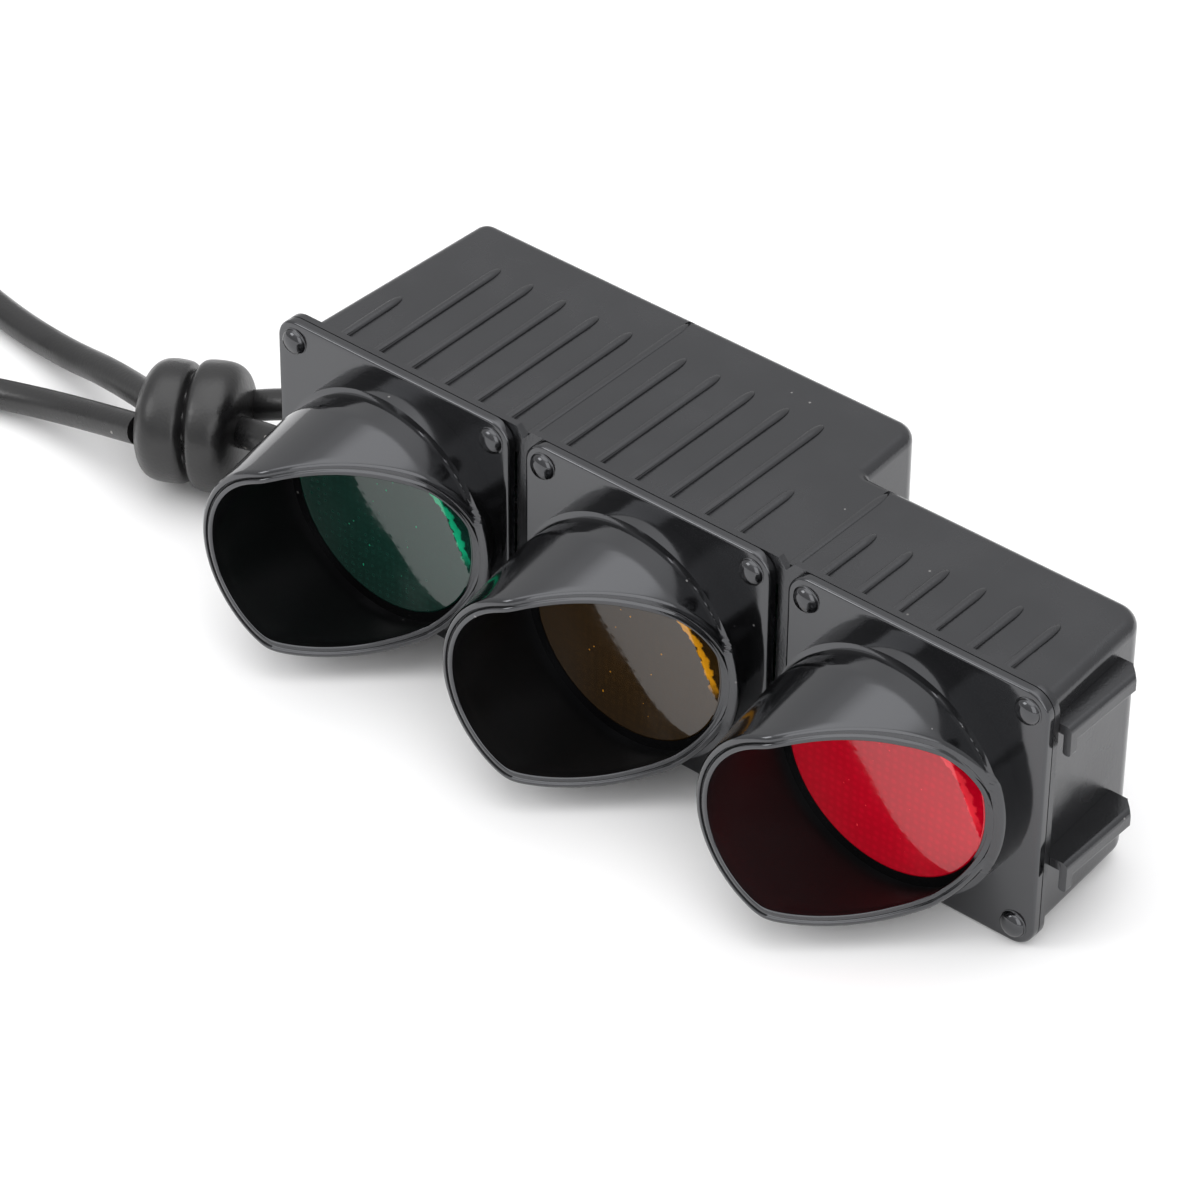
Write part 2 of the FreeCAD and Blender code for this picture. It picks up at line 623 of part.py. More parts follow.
def cord_wire(name, points):
    """Straight runs joined by tangent arcs; prints the radius of every bend."""
    spots = [V(*point) for point in points]
    edges = []
    start = spots[0]
    radii = []
    for index in range(1, len(spots) - 1):
        here = spots[index]
        back = spots[index - 1] - here
        ahead = spots[index + 1] - here
        shorter = min(back.Length, ahead.Length)
        back.normalize()
        ahead.normalize()
        half_turn = (math.pi - back.getAngle(ahead)) / 2
        radius = 0.45 * shorter / math.tan(half_turn)
        radii.append(radius)
        first = here + back * (0.45 * shorter)
        last = here + ahead * (0.45 * shorter)
        middle = back + ahead
        middle.normalize()
        centre = here + middle * (radius / math.cos(half_turn))
        edges.append(Part.LineSegment(start, first).toShape())
        edges.append(Part.Arc(first, centre - middle * radius, last).toShape())
        start = last
    edges.append(Part.LineSegment(start, spots[-1]).toShape())
    print(name, "bend radii", " ".join("%.1f" % radius for radius in radii))
    return Part.Wire(edges)


def cord_tube(name, points):
    """Round cord along the route, closed at both ends."""
    wire = cord_wire(name, points)
    radius = size("cord") / 2
    direction = V(*points[1]) - V(*points[0])
    section = Part.Wire([Part.makeCircle(radius, V(*points[0]), direction)])
    tube = wire.makePipeShell([section], True, True)
    expected = math.pi * radius * radius * wire.Length
    if abs(tube.Volume - expected) > 0.01 * expected:
        raise ValueError("%s has %.1f mm3 against %.1f" % (name, tube.Volume, expected))
    print(name, "length %.1f mm" % wire.Length)
    feature = doc.addObject("Part::Feature", name)
    feature.Label = name
    feature.Shape = tube
    place_like_bodies(feature)


# Routes from the amber lamp's door centre; z -12.4 is the cord lying on the ground.
LOOP_ROUTE = [(-63.0, 3.4, -7.2), (-71.6, 6.3, -9.3), (-81.0, 8.0, -11.6), (-91.5, 9.8, -12.4),
              (-103.0, 12.8, -12.4), (-114.5, 13.4, -12.4), (-124.0, 8.6, -12.4), (-128.2, -0.8, -12.4),
              (-123.2, -9.8, -12.4), (-112.8, -12.6, -12.4), (-101.6, -9.4, -12.4), (-91.4, -4.4, -12.4),
              (-81.4, -0.5, -12.2), (-71.8, 0.5, -10.4), (-62.2, -0.4, -7.6)]
EYE_ROUTE = [(-57.2, 7.5, -7.0), (-51.2, 10.2, -4.8), (-44.26, 10.75, -4.0), (-44.26, 3.25, -4.0),
             (-51.2, 3.9, -5.2), (-57.8, 4.2, -7.6)]


def strap_knot():
    """Barrel knot of two wraps, its end faces flat where the cord goes in."""
    body = new_body("strap_knot", x=-58.7, y=3.5, z=-7.4)
    body.setExpression("Placement.Rotation.Angle", "sizes.knot_turn")
    body.Placement.Rotation.Axis = V(0, 0, 1)
    radius = size("knot_radius")
    half = size("knot_length") / 2
    profile = new_sketch(body, "knot_profile", "XY_Plane")
    polygon(profile, [(-half, 0), (-half, radius - 0.3), (-0.5, radius - 0.3), (0, radius - 1.6),
                      (0.5, radius), (half, radius), (half, 0)],
            [0, 2.0, 1.6, 0.3, 1.6, 2.0, 0])
    revolve(body, profile, "X_Axis")


for lamp_colour, lamp_place in LAMPS:
    door_plate(lamp_colour, lamp_place)
    hood(lamp_colour, lamp_place)
    lens(lamp_colour, lamp_place)
    reflector(lamp_colour, lamp_place)
    lamp_led(lamp_colour, lamp_place)
case_shell()
rivets()
circuit_board()
board_screws()
switch()
coin_cells()
cell_contacts()
battery_cover()
for rail_name, rail_top, rail_reach, rail_wall in (("bracket_upper", 10.6, 2.3, 42.9),
                                                   ("bracket_lower", -4.2, 2.9, 42.9)):
    bracket(rail_name, rail_top, rail_reach, rail_wall)
    trim_bracket(parts[-1])
strap_eye()
strap_knot()
cord_tube("strap_loop", LOOP_ROUTE)
cord_tube("strap_eye_loop", EYE_ROUTE)

doc.recompute()
for item in doc.Objects:
    if "Invalid" in item.State or "Error" in item.State:
        raise ValueError("%s did not compute" % item.Name)
os.makedirs("parts", exist_ok=True)
for item in parts:
    if item.Shape.isNull() or not item.Shape.isValid():
        raise ValueError("%s has no valid shape" % item.Label)
    item.Shape.exportStep("parts/%s.step" % item.Label)
    box = item.Shape.BoundBox
    print("%-20s %2d solid(s) %9.2f mm3  x %.2f..%.2f y %.2f..%.2f z %.2f..%.2f" % (
        item.Label, len(item.Shape.Solids), item.Shape.Volume,
        box.XMin, box.XMax, box.YMin, box.YMax, box.ZMin, box.ZMax))
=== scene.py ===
import math

import bmesh
import bpy
import numpy as np
from mathutils import Matrix, Vector


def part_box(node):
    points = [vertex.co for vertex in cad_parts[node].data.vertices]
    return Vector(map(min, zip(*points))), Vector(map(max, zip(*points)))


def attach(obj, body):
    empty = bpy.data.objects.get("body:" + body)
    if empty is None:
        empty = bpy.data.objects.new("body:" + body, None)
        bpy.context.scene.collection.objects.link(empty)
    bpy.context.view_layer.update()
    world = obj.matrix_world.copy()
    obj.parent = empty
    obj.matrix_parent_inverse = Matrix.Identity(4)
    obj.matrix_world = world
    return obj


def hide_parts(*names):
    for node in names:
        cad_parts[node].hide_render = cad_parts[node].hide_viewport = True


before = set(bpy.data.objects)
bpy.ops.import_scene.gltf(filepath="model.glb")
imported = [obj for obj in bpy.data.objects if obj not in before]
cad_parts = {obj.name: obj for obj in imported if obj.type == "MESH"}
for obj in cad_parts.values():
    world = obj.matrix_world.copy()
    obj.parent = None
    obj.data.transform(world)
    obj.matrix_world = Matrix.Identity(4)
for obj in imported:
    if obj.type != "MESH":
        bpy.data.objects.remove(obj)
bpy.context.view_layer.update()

# Lengths are written in millimetres and turned into metres with MM where a mesh or a light is made.
MM = 0.001
COLOURS = ("green", "amber", "red")
RING_DEPTH = 2.3
HOOD_LENGTH = 15.6
HOOD_BASE_RADIUS = 12.6
HOOD_TIP_RADIUS = 10.6
HOOD_WALL = 0.95
RIM_WALL = 1.3
RING_BORE = 10.72
CUT_CORNER_X = -2.9
CUT_RING_X = 11.3
DOOR_CORNER = 2.3
RIVET_SPAN = 23.8
CORD = 3.1
KNOT_TURN = math.radians(27.0)
# How far the visor is drawn in just in front of its ring, and from where to where.
NECK_DEPTH = 0.55
NECK_FRONT = -5.3
NECK_BACK = -2.4
# Slope of a lens's shallow dish: at its middle, then for each millimetre along x and along z.
LENS_SLOPE_X = (0.192, -0.026, -0.0044)
LENS_SLOPE_Z = (0.084, 0.0077, -0.016)


def box_mm(node):
    """Lowest and highest corner of a CAD node, in millimetres."""
    low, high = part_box(node)
    return np.array(low) / MM, np.array(high) / MM


def centre_mm(node):
    """Middle of a CAD node's box, in millimetres."""
    low, high = box_mm(node)
    return (low + high) / 2


DOOR_FRONT = box_mm("door_plate_amber")[0][1]
DOOR_BACK = box_mm("door_plate_amber")[1][1]
LAMP_HEIGHT = centre_mm("lens_amber")[2]
CASE_HALF_HEIGHT = 13.0
CASE_LOW = LAMP_HEIGHT - CASE_HALF_HEIGHT
CASE_HIGH = LAMP_HEIGHT + CASE_HALF_HEIGHT
FLANGE_BACK = DOOR_BACK + 0.75


# ---------------------------------------------------------------- camera, floor and light

def camera_axes(azimuth, elevation, roll):
    """Right, up and backward directions of a camera that looks at the object from azimuth and elevation."""
    back = Vector((math.sin(azimuth) * math.cos(elevation),
                   -math.cos(azimuth) * math.cos(elevation),
                   math.sin(elevation)))
    level = Vector((math.cos(azimuth), math.sin(azimuth), 0))
    rise = back.cross(level)
    right = math.cos(roll) * level + math.sin(roll) * rise
    up = -math.sin(roll) * level + math.cos(roll) * rise
    return right, up, back


def add_camera():
    """A long lens from the right, above the row of lamps."""
    azimuth = math.radians(39.395)
    elevation = math.radians(37.909)
    roll = math.radians(0.557)
    right, up, back = camera_axes(azimuth, elevation, roll)
    target = Vector((-4.123, -5.0, 14.179)) * MM
    distance = 495.4 * MM
    data = bpy.data.cameras.new("camera")
    data.lens = 165.06
    data.sensor_width = 36
    data.clip_start = 0.01
    data.clip_end = 10
    camera = bpy.data.objects.new("camera", data)
    turn = Matrix((right, up, back)).transposed().to_4x4()
    camera.matrix_world = Matrix.Translation(target + back * distance) @ turn
    bpy.context.scene.collection.objects.link(camera)
    bpy.context.scene.camera = camera


def add_area_light(name, place, target, width, height, power):
    """A soft rectangular light at place, turned to shine on target; both in millimetres."""
    data = bpy.data.lights.new(name, "AREA")
    data.shape = "RECTANGLE"
    data.size = width * MM
    data.size_y = height * MM
    data.energy = power
    light = bpy.data.objects.new(name, data)
    start = Vector(place) * MM
    aim = Vector(target) * MM - start
    light.location = start
    light.rotation_euler = aim.to_track_quat("-Z", "Y").to_euler()
    bpy.context.scene.collection.objects.link(light)


def add_world():
    """White studio with a wide bright panel overhead and even, dimmer walls."""
    world = bpy.data.worlds.new("studio")
    world.use_nodes = True
    tree = world.node_tree
    tree.nodes.clear()
    direction = put(tree, "ShaderNodeTexCoord", {})
    split = put(tree, "ShaderNodeSeparateXYZ", {"Vector": direction.outputs["Generated"]})
    ramp = put(tree, "ShaderNodeValToRGB", {"Fac": split.outputs["Z"]})
    stops = ramp.color_ramp
    stops.elements[0].color = (0.28, 0.28, 0.283, 1)
    stops.elements[1].color = (1.0, 1.0, 1.0, 1)
    for position, level in ((0.3, 0.31), (0.62, 0.36), (0.78, 0.47), (0.88, 0.94)):
        stops.elements.new(position).color = (level, level, level * 1.01, 1)
    light = put(tree, "ShaderNodeBackground", {"Color": ramp.outputs["Color"], "Strength": 2.2})
    put(tree, "ShaderNodeOutputWorld", {"Surface": light.outputs["Background"]})
    bpy.context.scene.world = world


def add_floor():
    """Plain pale table top, in metres."""
    half = 3.0
    corners = [(-half, -half, 0), (half, -half, 0), (half, half, 0), (-half, half, 0)]
    mesh = bpy.data.meshes.new("table_top")
    mesh.from_pydata(corners, [], [(0, 1, 2, 3)])
    floor = bpy.data.objects.new("table_top", mesh)
    bpy.context.scene.collection.objects.link(floor)
    mesh.materials.append(white_table())


# ---------------------------------------------------------------- node helpers and shared effects

def feed(tree, sockets, inputs):
    """Set sockets; inputs maps a socket's name or index to its value, or to the socket that feeds it."""
    for name, value in inputs.items():
        if isinstance(value, bpy.types.NodeSocket):
            tree.links.new(value, sockets[name])
        else:
            sockets[name].default_value = value


def put(tree, kind, inputs, **settings):
    """One node with its settings and its inputs."""
    made = tree.nodes.new(kind)
    for name, value in settings.items():
        setattr(made, name, value)
    feed(tree, made.inputs, inputs)
    return made


def maths(tree, operation, first, second=0.0):
    """Output of a Math node."""
    return put(tree, "ShaderNodeMath", {0: first, 1: second}, operation=operation).outputs[0]


def spread(tree, value, low, high, new_low, new_high):
    """A value carried from one range to another, smoothly and clamped."""
    made = put(tree, "ShaderNodeMapRange",
               {"Value": value, "From Min": low, "From Max": high, "To Min": new_low, "To Max": new_high},
               interpolation_type="SMOOTHSTEP")
    return made.outputs["Result"]


def blend_colours(tree, factor, first, second):
    """Colour between first and second."""
    return put(tree, "ShaderNodeMix", {0: factor, 6: first, 7: second}, data_type="RGBA").outputs[2]


def new_effect(name, inputs, outputs):
    """Empty node group with a Place vector, named float inputs and named float outputs."""
    tree = bpy.data.node_groups.new(name, "ShaderNodeTree")
    tree.interface.new_socket("Place", in_out="INPUT", socket_type="NodeSocketVector")
    for title, value in inputs.items():
        tree.interface.new_socket(title, in_out="INPUT", socket_type="NodeSocketFloat").default_value = value
    for title in outputs:
        tree.interface.new_socket(title, in_out="OUTPUT", socket_type="NodeSocketFloat")
    entry = tree.nodes.new("NodeGroupInput")
    leave = tree.nodes.new("NodeGroupOutput")
    return tree, entry.outputs, leave.inputs


def make_speck_effect():
    """Scattered round specks: cells with a dot at the middle, of which only a share is kept."""
    tree, entry, leave = new_effect("specks", {"Scale": 900.0, "Share": 0.05, "Size": 0.12}, ["Mask"])
    cells = put(tree, "ShaderNodeTexVoronoi", {"Vector": entry["Place"], "Scale": entry["Scale"]})
    dice = put(tree, "ShaderNodeSeparateColor", {"Color": cells.outputs["Color"]})
    kept = maths(tree, "LESS_THAN", dice.outputs[0], entry["Share"])
    inside = maths(tree, "LESS_THAN", cells.outputs["Distance"], entry["Size"])
    tree.links.new(maths(tree, "MULTIPLY", kept, inside), leave["Mask"])
    return tree


def make_skin_effect():
    """Moulded skin: fine grain on a slow ripple, as a height from 0 to 1."""
    tree, entry, leave = new_effect("mould_skin", {"Grain": 3000.0, "Ripple": 250.0, "Share": 0.5},
                                    ["Height"])
    place = entry["Place"]
    grain = put(tree, "ShaderNodeTexNoise", {"Vector": place, "Scale": entry["Grain"], "Detail": 3.0})
    ripple = put(tree, "ShaderNodeTexNoise", {"Vector": place, "Scale": entry["Ripple"], "Detail": 1.0})
    fine = maths(tree, "MULTIPLY", grain.outputs[0], entry["Share"])
    slow = maths(tree, "MULTIPLY", ripple.outputs[0], maths(tree, "SUBTRACT", 1.0, entry["Share"]))
    tree.links.new(maths(tree, "ADD", fine, slow), leave["Height"])
    return tree


def make_handling_effect():
    """Signs of handling: cloudy smudges, and thin hairlines that follow the edges of warped cells."""
    tree, entry, leave = new_effect("handling", {"Cloud": 90.0, "Hair": 130.0, "Thin": 0.006},
                                    ["Smudge", "Hairline"])
    place = entry["Place"]
    cloud = put(tree, "ShaderNodeTexNoise", {"Vector": place, "Scale": entry["Cloud"], "Detail": 4.0})
    tree.links.new(spread(tree, cloud.outputs[0], 0.38, 0.7, 0.0, 1.0), leave["Smudge"])
    bend = put(tree, "ShaderNodeTexNoise", {"Vector": place, "Scale": 60.0, "Detail": 1.0})
    small = put(tree, "ShaderNodeVectorMath", {0: bend.outputs["Color"], "Scale": 0.006}, operation="SCALE")
    warped = put(tree, "ShaderNodeVectorMath", {0: place, 1: small.outputs[0]}, operation="ADD")
    cells = put(tree, "ShaderNodeTexVoronoi", {"Vector": warped.outputs[0], "Scale": entry["Hair"]},
                feature="DISTANCE_TO_EDGE")
    line = maths(tree, "LESS_THAN", cells.outputs["Distance"], entry["Thin"])
    gate = put(tree, "ShaderNodeTexNoise", {"Vector": place, "Scale": 210.0, "Detail": 0.0})
    open_gate = spread(tree, gate.outputs[0], 0.56, 0.64, 0.0, 1.0)
    tree.links.new(maths(tree, "MULTIPLY", line, open_gate), leave["Hairline"])
    return tree


SPECKS = make_speck_effect()
SKIN = make_skin_effect()
HANDLING = make_handling_effect()


def use_effect(tree, group, inputs):
    """One of the shared effects, placed in a material."""
    made = tree.nodes.new("ShaderNodeGroup")
    made.node_tree = group
    feed(tree, made.inputs, inputs)
    return made.outputs


def new_material(name, **constants):
    """A material with one Principled BSDF, its constant sockets and the object's own coordinates."""
    material = bpy.data.materials.new(name)
    material.use_nodes = True
    tree = material.node_tree
    tree.nodes.clear()
    shader = tree.nodes.new("ShaderNodeBsdfPrincipled")
    put(tree, "ShaderNodeOutputMaterial", {"Surface": shader.outputs["BSDF"]})
    for title, value in constants.items():
        shader.inputs[title.replace("_", " ")].default_value = value
    place = put(tree, "ShaderNodeTexCoord", {}).outputs["Object"]
    return material, tree, shader, place


def bump(tree, shader, height, distance):
    """Relief on the shader's normal, distance metres high."""
    made = put(tree, "ShaderNodeBump", {"Height": height, "Distance": distance})
    tree.links.new(made.outputs["Normal"], shader.inputs["Normal"])


# ---------------------------------------------------------------- finishes

def white_table():
    """Matt white sheet."""
    material, tree, shader, place = new_material("white_table", Roughness=0.65)
    tone = put(tree, "ShaderNodeTexNoise", {"Vector": place, "Scale": 8.0, "Detail": 2.0})
    colour = blend_colours(tree, tone.outputs[0], (0.92, 0.918, 0.916, 1), (0.94, 0.938, 0.936, 1))
    tree.links.new(colour, shader.inputs["Base Color"])
    return material


def black_plastic(name, shade, gloss, smudged, relief, dust, ior=1.8):
    """Black moulded plastic: mould skin, smudges that dull it, hairlines and a little dust."""
    material, tree, shader, place = new_material(name, IOR=ior, Specular_Tint=(0.94, 0.955, 1.0, 1))
    grain, ripple, share, height = relief
    skin = use_effect(tree, SKIN, {"Place": place, "Grain": grain, "Ripple": ripple, "Share": share})
    worn = use_effect(tree, HANDLING, {"Place": place})
    specks = use_effect(tree, SPECKS, {"Place": place, "Scale": 900.0, "Share": dust, "Size": 0.11})
    clean = blend_colours(tree, worn["Smudge"], (shade, shade, shade * 1.08, 1),
                          (shade * 1.5, shade * 1.5, shade * 1.6, 1))
    colour = blend_colours(tree, specks["Mask"], clean, (0.16, 0.155, 0.15, 1))
    tree.links.new(colour, shader.inputs["Base Color"])
    dulled = spread(tree, worn["Smudge"], 0.0, 1.0, gloss, smudged)
    scratched = maths(tree, "ADD", dulled, maths(tree, "MULTIPLY", worn["Hairline"], 0.05))
    tree.links.new(maths(tree, "ADD", scratched, maths(tree, "MULTIPLY", specks["Mask"], 0.5)),
                   shader.inputs["Roughness"])
    bump(tree, shader, skin["Height"], height)
    return material


def door_gloss():
    """Polished black of the doors, hoods and rivets."""
    return black_plastic("door_gloss", 0.0032, 0.1, 0.17, (2600.0, 170.0, 0.25, 0.000006), 0.035)


def visor_inside():
    """Matt black of the visors' inner walls."""
    return black_plastic("visor_inside", 0.0034, 0.34, 0.44, (3400.0, 200.0, 0.5, 0.00001), 0.02, 1.28)


def case_satin():
    """Slightly duller black of the case behind the doors."""
    return black_plastic("case_satin", 0.005, 0.2, 0.3, (4200.0, 300.0, 0.75, 0.000022), 0.03, 1.7)


def lens_glass(colour_name, deep, bright, painted_glint, ior, painted_glow=0.0):
    """Smoked coloured lens: pressed dots, painted glints among them and a ragged sliver of painted light by
    the right edge.

    The painted sliver lies between two circles about a point low and to the left of the lens's middle. A
    painted glow, where given, is emission in the body colour."""
    material, tree, shader, place = new_material("lens_" + colour_name, IOR=ior)
    middle = Vector(centre_mm("lens_" + colour_name)) * MM
    local = put(tree, "ShaderNodeVectorMath", {0: place, 1: middle}, operation="SUBTRACT").outputs[0]
    split = put(tree, "ShaderNodeSeparateXYZ", {"Vector": local}).outputs
    flat = put(tree, "ShaderNodeCombineXYZ", {"X": split["X"], "Y": 0.0, "Z": split["Z"]}).outputs[0]
    dots = put(tree, "ShaderNodeTexVoronoi", {"Vector": flat, "Scale": 1200.0, "Randomness": 0.25})
    dot = spread(tree, dots.outputs["Distance"], 0.1, 0.5, 1.0, 0.0)
    cloud = put(tree, "ShaderNodeTexNoise", {"Vector": flat, "Scale": 330.0, "Detail": 3.0}).outputs[0]
    # Painted glints: a few tiny specks take the bright glint colour in place of sparkles of light on the
    # lens.
    painted_sparkles = use_effect(tree, SPECKS, {"Place": flat, "Scale": 3600.0, "Share": 0.008, "Size": 0.3})
    shade = maths(tree, "ADD", maths(tree, "MULTIPLY", dot, 0.45), maths(tree, "MULTIPLY", cloud, 0.55))
    body_colour = blend_colours(tree, shade, deep, bright)
    lit = blend_colours(tree, painted_sparkles["Mask"], body_colour, painted_glint)
    # Painted light: a ragged sliver near the right edge is painted in the glint colour, where light from
    # inside shows at the rim.
    painted_sliver_middle = Vector((-0.5, 0, -3.5)) * MM
    aside = put(tree, "ShaderNodeVectorMath", {0: flat, 1: painted_sliver_middle}, operation="SUBTRACT").outputs[0]
    reach = put(tree, "ShaderNodeVectorMath", {0: aside}, operation="LENGTH").outputs["Value"]
    ragged = put(tree, "ShaderNodeTexNoise", {"Vector": flat, "Scale": 1300.0, "Detail": 3.0}).outputs[0]
    edge = maths(tree, "ADD", reach, maths(tree, "MULTIPLY", ragged, 0.0017))
    inner = spread(tree, edge, 11.0 * MM, 11.25 * MM, 0.0, 1.0)
    outer = spread(tree, edge, 11.7 * MM, 12.1 * MM, 1.0, 0.0)
    above = spread(tree, split["Z"], -2.0 * MM, 0.5 * MM, 0.0, 1.0)
    painted_sliver = maths(tree, "MULTIPLY", maths(tree, "MULTIPLY", inner, outer), above)
    tree.links.new(blend_colours(tree, painted_sliver, lit, painted_glint), shader.inputs["Base Color"])
    # Painted glow: emission in the body colour stands in for light thrown back through the lens by the
    # reflector behind it.
    if painted_glow > 0:
        shader.inputs["Emission Strength"].default_value = painted_glow
        tree.links.new(body_colour, shader.inputs["Emission Color"])
    gloss = spread(tree, cloud, 0.3, 0.7, 0.035, 0.07)
    tree.links.new(maths(tree, "ADD", gloss, maths(tree, "MULTIPLY", painted_sparkles["Mask"], 0.2)),
                   shader.inputs["Roughness"])
    bump(tree, shader, dot, 0.0000008)
    return material


def bright_cup():
    """Vacuum-plated reflector with faint turning rings."""
    material, tree, shader, place = new_material("bright_cup", Metallic=1.0)
    streaks = put(tree, "ShaderNodeTexNoise", {"Vector": place, "Scale": 1400.0, "Detail": 2.0}).outputs[0]
    tree.links.new(blend_colours(tree, streaks, (0.75, 0.76, 0.78, 1), (0.9, 0.9, 0.91, 1)),
                   shader.inputs["Base Color"])
    tree.links.new(spread(tree, streaks, 0.3, 0.7, 0.06, 0.16), shader.inputs["Roughness"])
    bump(tree, shader, streaks, 0.000003)
    return material


def clear_led():
    """Clear resin, milky at its foot."""
    material, tree, shader, place = new_material("clear_led", IOR=1.55)
    shader.inputs["Transmission Weight"].default_value = 0.8
    cloud = put(tree, "ShaderNodeTexNoise", {"Vector": place, "Scale": 900.0, "Detail": 2.0}).outputs[0]
    tree.links.new(blend_colours(tree, cloud, (0.85, 0.87, 0.9, 1), (0.95, 0.96, 0.97, 1)),
                   shader.inputs["Base Color"])
    tree.links.new(spread(tree, cloud, 0.3, 0.7, 0.05, 0.15), shader.inputs["Roughness"])
    return material


def board_green():
    """Solder mask over woven glass, with copper showing lighter."""
    material, tree, shader, place = new_material("board_green", IOR=1.5)
    copper = put(tree, "ShaderNodeTexBrick",
                 {"Vector": place, "Scale": 180.0, "Mortar Size": 0.03, "Mortar": (0.03, 0.2, 0.08, 1),
                  "Color1": (0.01, 0.09, 0.035, 1), "Color2": (0.012, 0.1, 0.04, 1)})
    tree.links.new(copper.outputs["Color"], shader.inputs["Base Color"])
    weave = put(tree, "ShaderNodeTexNoise", {"Vector": place, "Scale": 2200.0, "Detail": 2.0}).outputs[0]
    tree.links.new(spread(tree, weave, 0.3, 0.7, 0.25, 0.4), shader.inputs["Roughness"])
    bump(tree, shader, weave, 0.000012)
    return material


def bare_metal(name, dark, light, gloss, grain):
    """Plated metal with a brushed grain along x."""
    material, tree, shader, place = new_material(name, Metallic=1.0)
    along = put(tree, "ShaderNodeMapping", {"Vector": place, "Scale": (0.08, 1.0, 1.0)}).outputs[0]
    brushed = put(tree, "ShaderNodeTexNoise", {"Vector": along, "Scale": grain, "Detail": 4.0}).outputs[0]
    tree.links.new(blend_colours(tree, brushed, dark, light), shader.inputs["Base Color"])
    tree.links.new(spread(tree, brushed, 0.3, 0.7, gloss, gloss + 0.14), shader.inputs["Roughness"])
    bump(tree, shader, brushed, 0.0000015)
    return material


def strap_rubber():
    """Soft black round cord: fine pores, faint ring creases and rubbed lighter patches."""
    material, tree, shader, place = new_material("strap_rubber", IOR=1.58)
    pores = put(tree, "ShaderNodeTexVoronoi", {"Vector": place, "Scale": 2600.0}).outputs["Distance"]
    slow = put(tree, "ShaderNodeTexNoise", {"Vector": place, "Scale": 260.0, "Detail": 4.0}).outputs[0]
    worn = use_effect(tree, HANDLING, {"Place": place, "Cloud": 160.0})
    lint = use_effect(tree, SPECKS, {"Place": place, "Scale": 800.0, "Share": 0.03, "Size": 0.14})
    base = blend_colours(tree, worn["Smudge"], (0.004, 0.0039, 0.0041, 1), (0.007, 0.0068, 0.007, 1))
    tree.links.new(blend_colours(tree, lint["Mask"], base, (0.2, 0.19, 0.18, 1)), shader.inputs["Base Color"])
    tree.links.new(spread(tree, slow, 0.3, 0.7, 0.27, 0.4), shader.inputs["Roughness"])
    relief = maths(tree, "ADD", maths(tree, "MULTIPLY", pores, 0.35), slow)
    bump(tree, shader, relief, 0.00003)
    return material


FINISHES = {
    "door": door_gloss(),
    "inside": visor_inside(),
    "case": case_satin(),
    # Each lens's third colour is a painted glint colour, for the painted sparkles and sliver; the red lens's
    # 0.28 is a painted glow.
    "green": lens_glass("green", (0.003, 0.022, 0.015, 1), (0.008, 0.044, 0.032, 1), (0.01, 0.42, 0.2, 1),
                        1.65),
    "amber": lens_glass("amber", (0.022, 0.0115, 0.003, 1), (0.045, 0.023, 0.006, 1), (0.7, 0.3, 0.01, 1),
                        1.65),
    "red": lens_glass("red", (0.33, 0.0003, 0.008, 1), (0.46, 0.0008, 0.013, 1), (0.75, 0.03, 0.045, 1), 1.6,
                      0.28),
    "cup": bright_cup(),
    "led": clear_led(),
    "board": board_green(),
    "steel": bare_metal("plated_steel", (0.42, 0.42, 0.43, 1), (0.6, 0.6, 0.6, 1), 0.24, 1800.0),
    "cell": bare_metal("cell_nickel", (0.55, 0.55, 0.54, 1), (0.72, 0.72, 0.7, 1), 0.18, 2400.0),
    "brass": bare_metal("contact_spring", (0.5, 0.36, 0.14, 1), (0.7, 0.52, 0.22, 1), 0.22, 2200.0),
    "strap": strap_rubber(),
}


# ---------------------------------------------------------------- surfaces

def add_surface(name, points, finish, closed_v=False):
    """Mesh of a grid of points (u, v, xyz) in millimetres, joined into quads that wrap round along u.

    They wrap round along v too where closed_v is set."""
    count_u, count_v = points.shape[:2]
    index = np.arange(count_u * count_v).reshape(count_u, count_v)
    next_u = np.roll(index, -1, axis=0)
    next_v = np.roll(index, -1, axis=1)
    both = np.roll(next_u, -1, axis=1)
    quads = np.stack([index, next_u, both, next_v], axis=-1)
    if not closed_v:
        quads = quads[:, :-1]
    mesh = bpy.data.meshes.new(name)
    mesh.from_pydata((points.reshape(-1, 3) * MM).tolist(), [], quads.reshape(-1, 4).tolist())
    return finish_object(name, mesh, finish)


def finish_object(name, mesh, finish):
    """Object of a mesh: doubles merged, normals outward, smooth with sharp edges past 40 degrees."""
    work = bmesh.new()
    work.from_mesh(mesh)
    bmesh.ops.remove_doubles(work, verts=work.verts, dist=0.002 * MM)
    bmesh.ops.dissolve_degenerate(work, edges=work.edges, dist=0.0005 * MM)
    bmesh.ops.recalc_face_normals(work, faces=work.faces)
    for face in work.faces:
        face.smooth = True
    for edge in work.edges:
        edge.smooth = edge.calc_face_angle(0.0) < math.radians(40)
    work.to_mesh(mesh)
    work.free()
    mesh.materials.append(FINISHES[finish])
    piece = bpy.data.objects.new(name, mesh)
    bpy.context.scene.collection.objects.link(piece)
    return piece


def add_group(name, grids, finish):
    """One object of several grids of points, each a surface of its own."""
    work = bmesh.new()
    for grid in grids:
        part = add_surface(name + "_part", grid, finish)
        work.from_mesh(part.data)
        bpy.data.objects.remove(part)
    mesh = bpy.data.meshes.new(name)
    work.to_mesh(mesh)
    work.free()
    return finish_object(name, mesh, finish)


def read_all(items, field, width=3, kind=float):
    """A field of every vertex, corner or face of a mesh, one row each."""
    values = np.empty(len(items) * width, dtype=kind)
    items.foreach_get(field, values)
    return values.reshape(-1, width)


def arc(start, stop, count):
    """Angles from start to stop in degrees, as radians."""
    return np.radians(np.linspace(start, stop, count))


